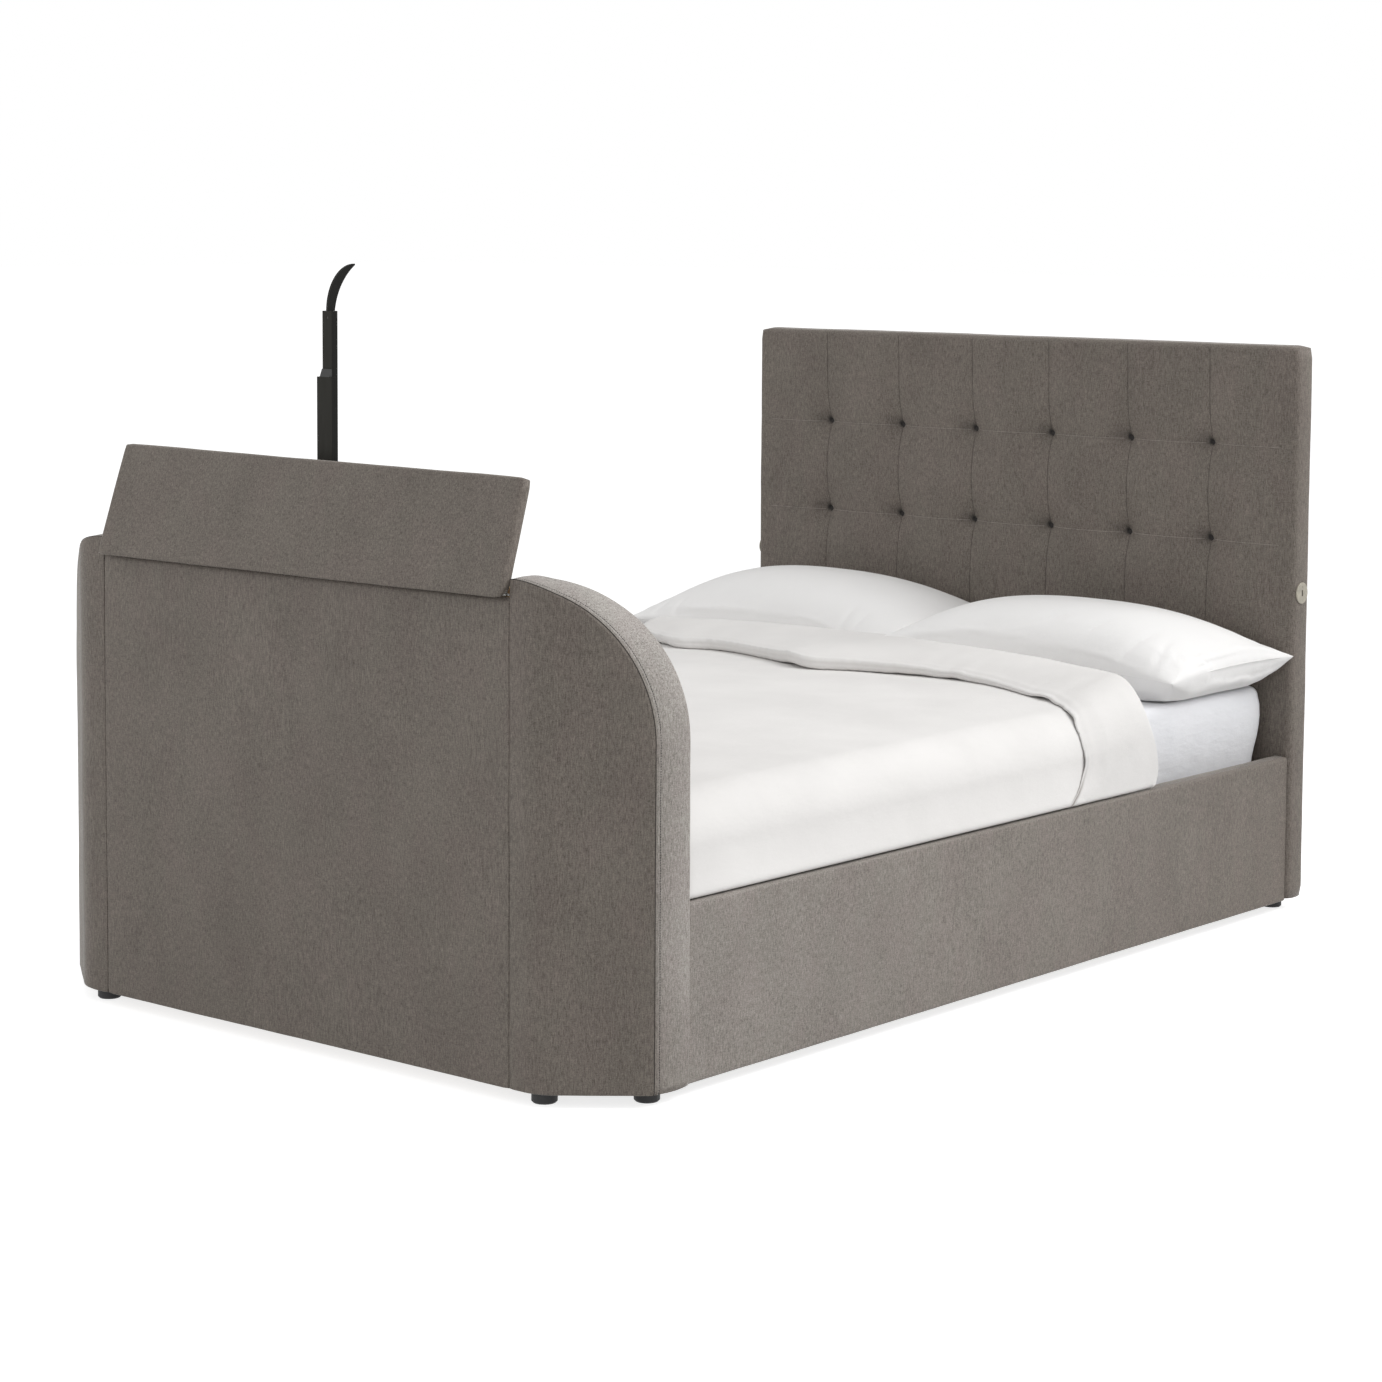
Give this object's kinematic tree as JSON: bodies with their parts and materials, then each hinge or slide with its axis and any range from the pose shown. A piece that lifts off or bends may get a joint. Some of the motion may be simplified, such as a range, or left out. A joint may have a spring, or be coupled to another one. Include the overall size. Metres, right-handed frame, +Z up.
{
  "type": "tv bed",
  "caption": "Upholstered double bed whose foot end hides a motorised television lift under a hinged lid, shown raised and made up with bedding.",
  "frame": {"origin": "Middle of the whole bed's bounding box, on the floor.", "axes": "+X toward the right side of someone who stands at the foot and looks at the headboard, +Y from the foot end to the headboard, +Z up."},
  "size_m": [1.481, 2.2994, 1.404],
  "materials": {
    "upholstery": "grey-taupe woven upholstery cloth with a fine mottled weave",
    "board": "raw particle board, seen only from below and behind",
    "timber": "planed softwood",
    "slat_wood": "smooth bent birch laminate",
    "lined_board": "board lined with thin black cloth",
    "backing_cloth": "thin black backing cloth",
    "glide_plastic": "black moulded plastic",
    "port_plastic": "beige satin plastic with a dark socket",
    "zinc_steel": "zinc-plated steel",
    "hinge_steel": "bright rolled steel",
    "spindle_steel": "ground steel, greased",
    "lift_paint": "black powder coat with a low sheen",
    "pad_plastic": "black nylon",
    "drive_plastic": "dark grey moulded plastic",
    "buffer_rubber": "black rubber on a smooth strip",
    "mattress_cloth": "white knitted ticking under a fitted sheet",
    "bedding_cloth": "white cotton percale"
  },
  "bodies": {
    "frame": {"headboard_cover": "upholstery", "headboard_board": "board", "headboard_battens": "timber", "headboard_back_cloth": "backing_cloth", "headboard_buttons": "upholstery", "headboard_glides": "glide_plastic", "usb_port_left": "port_plastic", "usb_port_right": "port_plastic", "side_rail_cover_left": "upholstery", "side_rail_cover_right": "upholstery", "side_rail_board_left": "board", "side_rail_board_right": "board", "slat_ledge_left": "timber", "slat_ledge_right": "timber", "slats": "slat_wood", "slat_holders": "glide_plastic", "centre_rail": "timber", "centre_legs": "glide_plastic", "corner_brackets": "zinc_steel", "corner_bolts": "zinc_steel", "foot_front_board": "board", "foot_front_cover": "upholstery", "foot_back_board": "board", "foot_back_cover": "upholstery", "foot_side_board_left": "board", "foot_side_board_right": "board", "foot_floor_board": "board", "mattress_stop": "lined_board", "foot_glides": "glide_plastic", "wing_core_left": "timber", "wing_core_right": "timber", "wing_cover_left": "upholstery", "wing_cover_right": "upholstery", "lid_hinge_fixed_leaf": "hinge_steel", "lid_hinge_pin": "hinge_steel", "lift_casing": "lift_paint", "lift_fixings": "lift_paint", "spindle_bearings": "lift_paint", "lift_gearbox": "drive_plastic", "lift_motor": "lift_paint", "lift_control_box": "drive_plastic", "mains_gland": "drive_plastic", "mattress": "mattress_cloth", "duvet": "bedding_cloth", "pillow_left": "bedding_cloth", "pillow_right": "bedding_cloth"},
    "middle_stage": {"lift_middle_stage": "lift_paint", "middle_stage_pad": "pad_plastic", "middle_stage_cap": "pad_plastic", "lift_arm": "lift_paint"},
    "inner_stage": {"lift_inner_stage": "lift_paint", "inner_stage_pad": "pad_plastic", "lid_lifter": "lift_paint", "tv_bracket": "lift_paint", "lift_screws": "zinc_steel"},
    "spindle": {"lift_spindle": "spindle_steel"},
    "lid": {"lid_cover": "upholstery", "lid_board": "lined_board", "lid_hinge_moving_leaf": "hinge_steel", "lid_glide_strip": "buffer_rubber"}
  },
  "joints": [
    {"name": "middle_stage_slide", "type": "slide", "parent": "frame", "child": "middle_stage", "axis": [0, 0, -1], "range_m": [0, 0.37]},
    {"name": "inner_stage_slide", "type": "slide", "parent": "middle_stage", "child": "inner_stage", "axis": [0, 0, -1], "range_m": [0, 0.37]},
    {"name": "spindle_turn", "type": "hinge", "parent": "frame", "child": "spindle", "pos_m": [0.052, -1.06132, 0.3], "axis": [0, 0, 1], "range_deg": [0, 13320]},
    {"name": "lid_hinge", "type": "hinge", "parent": "frame", "child": "lid", "pos_m": [0, -1.12532, 0.8615], "axis": [1, 0, 0], "range_deg": [0, 16.8]}
  ],
  "couplings": [
    {"joint": "inner_stage_slide", "follows": "middle_stage_slide", "ratio": 1},
    {"joint": "spindle_turn", "follows": "middle_stage_slide", "rad_per_m": 628.32}
  ]
}
